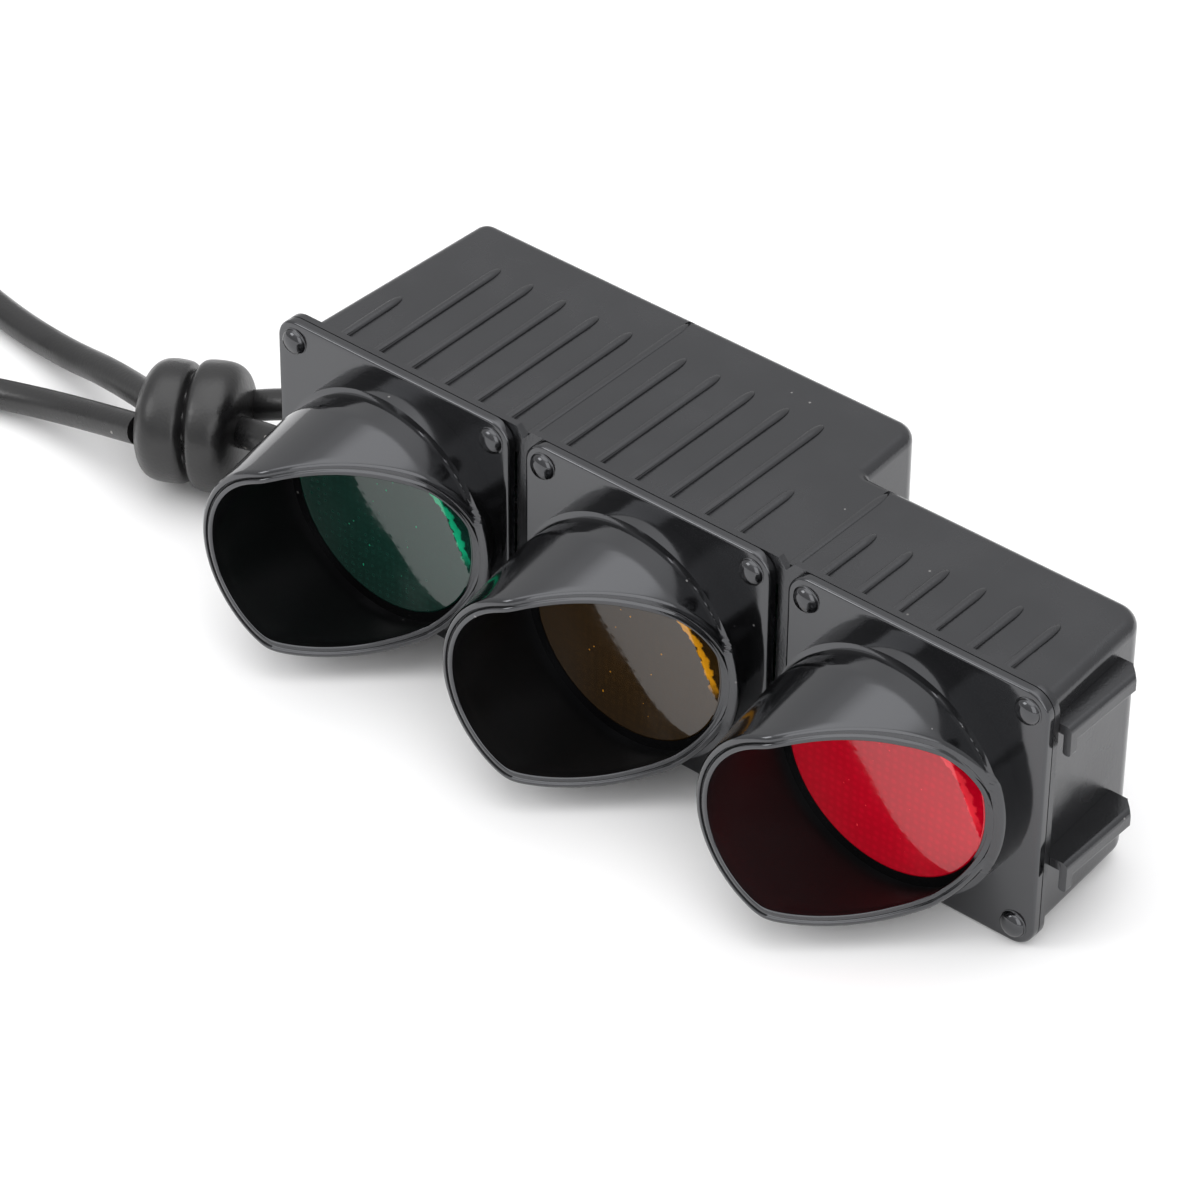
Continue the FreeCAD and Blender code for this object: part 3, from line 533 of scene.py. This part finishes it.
def cut_line(x):
    """Front of the visor at x across the lamp: straight at the tip, then slanting back to the ring.

    The slant is a soft maximum of the tip line and the sloping line, and a soft minimum with the ring."""
    corner_softness = 0.55
    foot_softness = 0.004
    foot = -RING_DEPTH - 0.02
    slope = (HOOD_LENGTH - RING_DEPTH) / (CUT_RING_X - CUT_CORNER_X)
    rise = slope * (x - CUT_CORNER_X)
    front = -HOOD_LENGTH + (rise + np.sqrt(rise ** 2 + corner_softness)) / 2
    over = front - foot
    return foot + (over - np.sqrt(over ** 2 + foot_softness)) / 2


def taper(y):
    """Radius at y of a cone from the base radius at the ring's face to the tip radius."""
    along = np.clip((-RING_DEPTH - y) / (HOOD_LENGTH - RING_DEPTH), 0, 1)
    return HOOD_BASE_RADIUS + (HOOD_TIP_RADIUS - HOOD_BASE_RADIUS) * along


def cone_radius(y):
    """Outer radius of the visor at y: the taper, less a straight-sided neck just in front of the ring."""
    return taper(y) - np.interp(y, [NECK_FRONT, NECK_BACK, -RING_DEPTH], [0.0, NECK_DEPTH, 0.0])


def visor_front(angle, inward):
    """Where the wall at depth inward meets the cut, found by repeating y = cut(x(y)) until it settles."""
    y = np.full(np.broadcast(angle, inward).shape, -10.0)
    for _ in range(14):
        y = cut_line((cone_radius(y) - inward) * np.cos(angle))
    return y


def hood_piece(colour):
    """Ring and visor: a closed profile across the wall, carried once round the lamp.

    The profile runs from the door up the outside, over a lip with a fine groove, down the inside and
    across the ring to the bore."""
    angle = np.linspace(0, 2 * math.pi, 320, endpoint=False)[:, None]
    lip = 0.45
    bead = 0.2
    groove_from = 0.48
    groove_width = 0.4
    groove_depth = 0.24
    turn_out = arc(0, 90, 7)
    turn_in = arc(0, 90, 5)
    groove = np.linspace(0, 1, 9)
    before_bead = turn_out.size + groove.size
    inward = np.concatenate([lip * (1 - np.cos(turn_out)), groove_from + groove_width * groove,
                             RIM_WALL - bead + bead * np.sin(turn_in)])[None, :]
    sunk = np.concatenate([lip * (1 - np.sin(turn_out)), groove_depth * np.sin(math.pi * groove) ** 2,
                           np.zeros(turn_in.size)])[None, :]
    reach = np.clip((-RING_DEPTH - visor_front(angle, 0.0)) / 5.0, 0, 1)
    wall = HOOD_WALL + (RIM_WALL - HOOD_WALL) * reach
    inward = inward * wall / RIM_WALL
    front = visor_front(angle, inward)
    height = -RING_DEPTH - front
    fade = np.clip(height / 2.5, 0, 1)
    step = np.arange(inward.shape[1])
    is_groove = (step >= turn_out.size) & (step < before_bead)
    drop = np.where(is_groove[None, :], sunk * fade, sunk)
    inner_turn = np.concatenate([np.zeros(before_bead), bead * (1 - np.cos(turn_in))])[None, :]
    rim_y = front + drop + np.minimum(inner_turn, 0.8 * height)
    rim_r = cone_radius(rim_y) - inward
    start = rim_y[:, :1]
    knee = np.maximum(start + 0.05, -RING_DEPTH)
    up = np.linspace(0, 1, 24)[None, :-1] ** 1.7
    wall_y = knee + (start - knee) * up
    wall_r = cone_radius(wall_y)
    base_y = np.concatenate([np.zeros_like(knee), knee / 2], axis=1)
    base_r = np.full_like(base_y, HOOD_BASE_RADIUS)
    end = rim_y[:, -1:]
    down = np.linspace(0, 1, 12)[None, 1:]
    inside_y = end + (-RING_DEPTH - end) * down
    thinning = np.clip((inside_y - end) / 2.2, 0, 1)
    smooth = thinning * thinning * (3 - 2 * thinning)
    inside_r = taper(inside_y) - wall + (wall - HOOD_WALL) * smooth
    seat_y = np.full_like(angle, -RING_DEPTH)
    seat_r = np.full_like(angle, RING_BORE)
    bore_y = np.zeros_like(angle)
    bore_r = np.full_like(angle, RING_BORE)
    y = np.concatenate([base_y, wall_y, rim_y, inside_y, seat_y, bore_y], axis=1)
    r = np.concatenate([base_r, wall_r, rim_r, inside_r, seat_r, bore_r], axis=1)
    middle = centre_mm("lens_" + colour)
    points = np.stack([middle[0] + r * np.cos(angle), DOOR_FRONT + y, middle[2] + r * np.sin(angle)], axis=-1)
    piece = add_surface("visor_" + colour, points, "door", closed_v=True)
    darken_inside(piece.data, middle)
    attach(piece, "signal")
    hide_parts("hood_" + colour)


def darken_inside(mesh, middle):
    """Give the faces that look towards the lamp's axis, the inner wall and the bore, their matt finish."""
    mesh.materials.append(FINISHES["inside"])
    away = read_all(mesh.polygons, "center") - middle * MM
    away[:, 1] = 0
    away /= np.linalg.norm(away, axis=1, keepdims=True)
    inside = (away * read_all(mesh.polygons, "normal")).sum(axis=1) < -0.9
    mesh.polygons.foreach_set("material_index", inside.astype(np.int32))


def square_outline(half, corner, count):
    """Places and outward normals round a square with rounded corners, evenly in each of its eight parts."""
    straight = half - corner
    places = []
    normals = []
    for quarter in range(4):
        face = math.radians(90 * quarter)
        out = np.array((math.cos(face), math.sin(face)))
        side = np.array((-math.sin(face), math.cos(face)))
        step = np.linspace(-1, 1, count, endpoint=False)[:, None]
        places.append(half * out + straight * step * side)
        normals.append(np.repeat(out[None, :], count, axis=0))
        bend = np.linspace(0, math.pi / 2, 14, endpoint=False)[:, None]
        normal = np.cos(bend) * out + np.sin(bend) * side
        places.append(straight * (out + side) + corner * normal)
        normals.append(normal)
    return np.concatenate(places), np.concatenate(normals)


def door_piece(colour):
    """Square door with a round bore: the outline shrinks over a rounded edge, then blends into the bore."""
    low, high = box_mm("door_plate_" + colour)
    half = (high[0] - low[0]) / 2
    outline, normal = square_outline(half, DOOR_CORNER, 40)
    edge = 0.3
    back_edge = 0.12
    bore_radius = 10.95
    face_rings = 7
    turn = arc(0, 90, 6)
    inset = np.concatenate([[back_edge, 0.0], edge * (1 - np.cos(turn))])
    depth = np.concatenate([[DOOR_BACK, DOOR_BACK - back_edge], DOOR_FRONT + edge * (1 - np.sin(turn))])
    outer = outline[:, None, :] - normal[:, None, :] * inset[None, :, None]
    rim = outline - normal * edge
    bore = bore_radius * rim / np.linalg.norm(rim, axis=1, keepdims=True)
    share = np.linspace(0, 1, face_rings + 1)[None, 1:, None]
    face = rim[:, None, :] + (bore - rim)[:, None, :] * share
    flat = np.concatenate([outer, face, bore[:, None, :]], axis=1)
    y = np.concatenate([depth, np.full(face_rings, DOOR_FRONT), [DOOR_BACK]])[None, :] + 0 * flat[..., 0]
    middle = centre_mm("door_plate_" + colour)
    points = np.stack([middle[0] + flat[..., 0], y, middle[2] + flat[..., 1]], axis=-1)
    piece = add_surface("door_" + colour, points, "door", closed_v=True)
    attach(piece, "signal")
    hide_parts("door_plate_" + colour)


def lean_normals(mesh, origin):
    """Shading normals of a lens's flat front, which lean as those of a tilted shallow dish do.

    The dish's slopes are straight lines in x and z. Past a slanting line near the right edge the slope in x
    drops, as the dish's border does."""
    corner = read_all(mesh.loops, "vertex_index", 1, np.int32).ravel()
    local = read_all(mesh.vertices, "co")[corner] / MM - origin
    x = local[:, 0]
    z = local[:, 2]
    sides = read_all(mesh.polygons, "loop_total", 1, np.int32).ravel()
    normal = np.repeat(read_all(mesh.polygons, "normal"), sides, axis=0)
    beyond = np.clip((0.88 * x + 0.47 * z - 8.0) / 0.7, 0, 1)
    slope_x = LENS_SLOPE_X[0] + LENS_SLOPE_X[1] * x + LENS_SLOPE_X[2] * z - 0.5 * beyond
    slope_z = LENS_SLOPE_Z[0] + LENS_SLOPE_Z[1] * x + LENS_SLOPE_Z[2] * z
    dish = np.stack([slope_x, -np.ones_like(x), slope_z], axis=-1)
    dish /= np.linalg.norm(dish, axis=1, keepdims=True)
    on_front = (normal[:, 1] < -0.99)[:, None]
    mesh.normals_split_custom_set(np.where(on_front, dish, normal).tolist())


def lens_piece(colour):
    """Round lens: rings of a disc flush with the back of the ring, with a small rounded edge."""
    low, high = box_mm("lens_" + colour)
    middle = (low + high) / 2
    front = DOOR_FRONT - RING_DEPTH
    hub = 0.02
    flat_radius = 10.55
    outer_radius = 10.68
    rings = 26
    turn = np.linspace(0, 2 * math.pi, 160, endpoint=False)[:, None]
    radius = np.concatenate([np.linspace(hub, flat_radius, rings),
                             [outer_radius - 0.02, outer_radius, outer_radius, hub]])[None, :]
    depth = np.concatenate([np.full(rings, front), [front + 0.03, front + 0.12, high[1], high[1]]])[None, :]
    x = radius * np.cos(turn)
    z = radius * np.sin(turn)
    points = np.stack([middle[0] + x, depth + 0 * turn, middle[2] + z], axis=-1)
    piece = add_surface("lens_" + colour + "_moulded", points, colour, closed_v=True)
    lean_normals(piece.data, np.array((middle[0], front, middle[2])))
    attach(piece, "signal")
    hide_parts("lens_" + colour)


def rivet_piece():
    """Twelve domed rivet heads: an ellipse quarter turned round each rivet's axis, with a small foot ring."""
    turn = np.linspace(0, 2 * math.pi, 40, endpoint=False)[:, None]
    rise = arc(90, 0, 14)
    dome_radius = 1.28
    dome_height = 0.72
    foot_radius = 1.4
    radius = np.concatenate([dome_radius * np.cos(rise), [1.32, foot_radius, foot_radius, 0.0]])[None, :]
    height = np.concatenate([dome_height * np.sin(rise) + 0.08, [0.04, 0.03, -0.4, -0.4]])[None, :]
    domes = []
    for colour in COLOURS:
        middle = centre_mm("door_plate_" + colour)
        for side in (-0.5, 0.5):
            for level in (-0.5, 0.5):
                x = middle[0] + side * RIVET_SPAN + radius * np.cos(turn)
                z = middle[2] + level * RIVET_SPAN + radius * np.sin(turn)
                y = DOOR_FRONT - height + 0 * turn
                domes.append(np.stack([x, y, z], axis=-1))
    rivets = add_group("rivet_heads", domes, "door")
    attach(rivets, "signal")
    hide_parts("door_rivets")


def knot_piece():
    """Two wraps of the doubled cord: a radius that swells over each wrap, tilted a little like a helix.

    Along the axis each wrap is a low parabola, parted by a narrow bell-shaped groove that leans with the sine
    of the turn, and a high power of the distance rounds the shoulders down to the closed ends."""
    turn = np.linspace(0, 2 * math.pi, 160, endpoint=False)[:, None]
    along = np.sin(np.linspace(-1, 1, 141) * math.pi / 2)[None, :]
    half = 5.5
    knot_radius = 6.3
    groove_lean = 0.06
    groove_depth = 0.14
    groove_reach = 0.07
    shifted = along + groove_lean * np.sin(turn + 0.6) * (1 - along ** 2)
    wrap = np.abs(np.abs(shifted) - 0.5) / 0.5
    lobe = knot_radius + 0.2 * np.tanh(9 * shifted) + 0.08 * np.cos(2 * turn + 1.1)
    belly = 1 - 0.035 * wrap ** 2
    groove = 1 - groove_depth * np.exp(-(np.abs(shifted) / groove_reach) ** 1.5)
    shoulder = np.clip(1 - np.abs(along) ** 6, 0, 1) ** 0.45
    radius = lobe * belly * groove * shoulder
    x = half * along + 0 * turn
    ring_y = radius * np.cos(turn)
    ring_z = radius * np.sin(turn)
    middle = centre_mm("strap_knot")
    px = middle[0] + x * math.cos(KNOT_TURN) - ring_y * math.sin(KNOT_TURN)
    py = middle[1] + x * math.sin(KNOT_TURN) + ring_y * math.cos(KNOT_TURN)
    pz = middle[2] + ring_z
    piece = add_surface("strap_knot_wraps", np.stack([px, py, pz], axis=-1), "strap")
    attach(piece, "signal")
    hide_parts("strap_knot")
    return piece


# ---------------------------------------------------------------- strap

# Points from the amber door's centre; z -12.4 is the cord lying on the table.
ROUTE_ORIGIN = Vector((1.0, -5.0, 14.0))
LOOP_ROUTE = [(-63.0, 3.4, -7.2), (-71.6, 6.3, -9.3), (-81.0, 8.0, -11.6), (-91.5, 9.8, -12.4),
              (-103.0, 12.8, -12.4), (-114.5, 13.4, -12.4), (-124.0, 8.6, -12.4), (-128.2, -0.8, -12.4),
              (-123.2, -9.8, -12.4), (-112.8, -12.6, -12.4), (-101.6, -9.4, -12.4), (-91.4, -4.4, -12.4),
              (-81.4, -0.5, -12.2), (-71.8, 0.5, -10.4), (-62.2, -0.4, -7.6)]
EYE_ROUTE = [(-57.2, 7.5, -7.0), (-51.2, 10.2, -4.8), (-44.26, 10.75, -4.0), (-44.26, 3.25, -4.0),
             (-51.2, 3.9, -5.2), (-57.8, 4.2, -7.6)]


def cord_piece(name, node, route):
    """Round cord on one smooth spline whose control points are the route."""
    curve = bpy.data.curves.new(name, "CURVE")
    curve.dimensions = "3D"
    curve.resolution_u = 20
    curve.bevel_depth = CORD / 2 * MM
    curve.bevel_resolution = 7
    curve.use_fill_caps = True
    spline = curve.splines.new("NURBS")
    spline.points.add(len(route) - 1)
    places = [(Vector(spot) + ROUTE_ORIGIN) * MM for spot in route]
    for point, place in zip(spline.points, places):
        point.co = (*place, 1)
    spline.order_u = 3
    spline.use_endpoint_u = True
    spline.use_smooth = True
    curve.materials.append(FINISHES["strap"])
    piece = bpy.data.objects.new(name, curve)
    bpy.context.scene.collection.objects.link(piece)
    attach(piece, "signal")
    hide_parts(node)


# ---------------------------------------------------------------- CAD pieces that keep their shape

def softened_copy(node, finish, width):
    """A merged copy of a CAD node with its sharp edges rounded off by width, which stands for the node."""
    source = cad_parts[node]
    mesh = source.data.copy()
    mesh.materials.clear()
    if node == "case_shell":
        sink_ribs(mesh)
    work = bmesh.new()
    work.from_mesh(mesh)
    bmesh.ops.remove_doubles(work, verts=work.verts, dist=0.001 * MM)
    bmesh.ops.dissolve_limit(work, angle_limit=math.radians(0.4), verts=work.verts, edges=work.edges)
    work.to_mesh(mesh)
    work.free()
    mesh.materials.append(FINISHES[finish])
    for polygon in mesh.polygons:
        polygon.use_smooth = True
    copy = bpy.data.objects.new(node + "_finished", mesh)
    bpy.context.scene.collection.objects.link(copy)
    rounding = copy.modifiers.new("rounded_edges", "BEVEL")
    rounding.width = width * MM
    rounding.segments = 3
    rounding.limit_method = "ANGLE"
    rounding.angle_limit = math.radians(38)
    even = copy.modifiers.new("flat_faces_stay_flat", "WEIGHTED_NORMAL")
    even.mode = "FACE_AREA"
    even.weight = 100
    even.keep_sharp = True
    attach(copy, MOVING.get(node, "signal"))
    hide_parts(node)


MOVING = {"button_cap": "button", "battery_cover": "cover"}
# CAD nodes shown as copies with rounded edges: the node, its finish and the width of the rounding.
SOFTENED = (("case_shell", "case", 0.2), ("battery_cover", "case", 0.12), ("button_cap", "door", 0.1),
            ("bracket_upper", "case", 0.12), ("bracket_lower", "case", 0.12), ("strap_eye", "case", 0.25))
RIB_PITCH = 3.98
RIB_FADE = 2.0
# Each lamp unit's first rib, as x, and how far behind the doors' front each of its ribs ends.
RIB_ROWS = ((-36.9, (10.6, 20.0, 20.0, 20.0, 20.0, 20.0)), (-10.6, (20.0, 20.0, 20.0, 20.0, 20.0, 10.6)),
            (18.8, (10.2, 10.2, 10.2, 10.2, 10.2, 10.2)))
RIB_SIZE = (0.5, 0.38)
# The two seams' beads stop this far short of the case's back: one at the deep back, one at the shallow back.
SEAM_SHORTER = (1.2, 10.1)
SEAM_SIZE = (0.42, 0.13)


def bar_grid(x_middle, stop, half_width, height, level):
    """Soft bar along y: an ellipse carried back from the flange to stop, fading to a point.

    The ellipse's size is the square root of one minus the squared distance into the fade."""
    turn = np.linspace(0, 2 * math.pi, 24, endpoint=False)[:, None]
    fade_start = stop - RIB_FADE
    along = np.concatenate([[FLANGE_BACK], np.linspace(FLANGE_BACK, fade_start, 5)[1:],
                            stop - RIB_FADE * np.cos(arc(0, 90, 10)[1:])])[None, :]
    into = np.clip((along - fade_start) / RIB_FADE, 0, 0.9999)
    size = np.sqrt(1 - into ** 2)
    x = x_middle + half_width * size * np.cos(turn)
    z = level + height * size * np.sin(turn)
    return np.stack([x, along + 0 * turn, z], axis=-1)


def rib_piece():
    """Soft raised ribs and seam beads on the case's two long sides."""
    bars = [(first + RIB_PITCH * index, DOOR_FRONT + end, *RIB_SIZE)
            for first, ends in RIB_ROWS for index, end in enumerate(ends)]
    amber_x = centre_mm("door_plate_amber")[0]
    half_pitch = (centre_mm("door_plate_red")[0] - amber_x) / 2
    case_end = box_mm("case_shell")[1][1]
    for side, shorter in zip((-1, 1), SEAM_SHORTER):
        bars.append((amber_x + side * half_pitch, case_end - shorter, *SEAM_SIZE))
    grids = [bar_grid(*bar, level) for bar in bars for level in (CASE_LOW, CASE_HIGH)]
    ribs = add_group("case_ribs", grids, "case")
    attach(ribs, "signal")


def sink_ribs(mesh):
    """Press the square ribs of the case's copy level with its long sides, where the soft ribs cover them."""
    spots = read_all(mesh.vertices, "co")
    behind = spots[:, 1] > (FLANGE_BACK + 0.01) * MM
    high = behind & (spots[:, 2] > (CASE_HIGH + 0.02) * MM)
    low = behind & (spots[:, 2] < (CASE_LOW - 0.02) * MM)
    spots[high, 2] = CASE_HIGH * MM
    spots[low, 2] = CASE_LOW * MM
    mesh.vertices.foreach_set("co", spots.ravel())


NODE_FINISHES = (("reflector_", "cup"), ("led_", "led"), ("circuit_board", "board"),
                 ("board_screws", "steel"), ("switch_body", "case"), ("switch_plunger", "case"),
                 ("button_cap", "door"), ("coin_cells", "cell"), ("cell_contacts", "brass"),
                 ("cover_screw", "steel"), ("case_shell", "case"), ("battery_cover", "case"),
                 ("bracket_", "case"), ("strap_eye", "case"), ("door_plate_", "door"), ("hood_", "door"),
                 ("door_rivets", "door"), ("strap_", "strap"), ("lens_green", "green"),
                 ("lens_amber", "amber"), ("lens_red", "red"))


def finish_nodes():
    """Give every CAD node its finish."""
    for name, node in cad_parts.items():
        for start, finish in NODE_FINISHES:
            if name.startswith(start):
                for held in node.material_slots:
                    held.material = FINISHES[finish]
                break


bpy.context.scene.view_settings.view_transform = "Standard"
add_camera()
add_world()
add_area_light("key", (-260, -330, 330), (0, -10, 12), 210, 210, 0.5)
add_area_light("fill", (380, -300, 260), (10, -20, 0), 450, 450, 1.0)
add_floor()
knot = knot_piece()
cord_piece("strap_loop_cord", "strap_loop", LOOP_ROUTE)
cord_piece("strap_eye_cord", "strap_eye_loop", EYE_ROUTE)
finish_nodes()
for lamp in COLOURS:
    hood_piece(lamp)
    door_piece(lamp)
    lens_piece(lamp)
rivet_piece()
rib_piece()
for cad_node, piece_finish, edge_width in SOFTENED:
    softened_copy(cad_node, piece_finish, edge_width)
